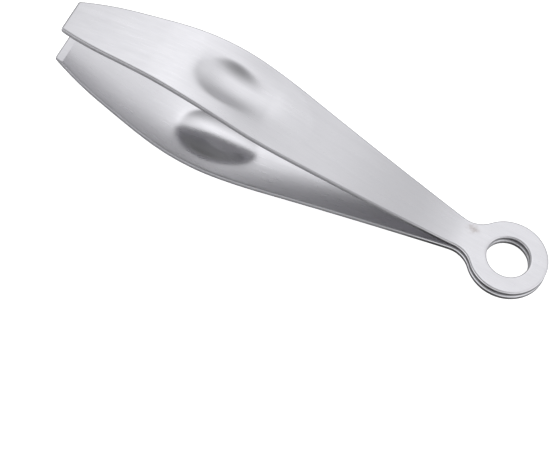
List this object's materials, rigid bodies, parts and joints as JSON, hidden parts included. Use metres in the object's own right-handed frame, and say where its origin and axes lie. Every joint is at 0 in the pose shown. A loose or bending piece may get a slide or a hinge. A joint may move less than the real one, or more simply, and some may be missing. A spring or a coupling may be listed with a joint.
{
  "type": "ice tongs",
  "caption": "Small sprung tongs: two bowed steel leaves with finger dimples and ground tips, spot-welded together at a flat finger ring; squeezing the leaves closes the tips.",
  "frame": {"origin": "centre of the hole through the finger ring, on the plane midway between the two leaves", "axes": "+X from the ring to the gripping tips, +Y across the width of the leaves, +Z along the ring's axis from the lower leaf to the upper leaf"},
  "size_m": [0.1212, 0.019, 0.0262],
  "materials": {
    "leaf_steel": "satin brushed stainless steel sheet with tumbled edges",
    "weld_steel": "dull spot-weld metal between the ring plates"
  },
  "bodies": {
    "ring_end": {"upper_ring_plate": "leaf_steel", "lower_ring_plate": "leaf_steel", "ring_welds": "weld_steel"},
    "upper_arm": {"upper_blade": "leaf_steel"},
    "lower_arm": {"lower_blade": "leaf_steel"}
  },
  "joints": [
    {"name": "upper_flex", "type": "hinge", "parent": "ring_end", "child": "upper_arm", "pos_m": [0.028, 0, 0.00341], "axis": [0, 1, 0], "range_deg": [0, 3.92], "stiffness_Nm_per_rad": 15},
    {"name": "lower_flex", "type": "hinge", "parent": "ring_end", "child": "lower_arm", "pos_m": [0.028, 0, -0.00341], "axis": [0, -1, 0], "range_deg": [0, 3.92], "stiffness_Nm_per_rad": 15}
  ]
}
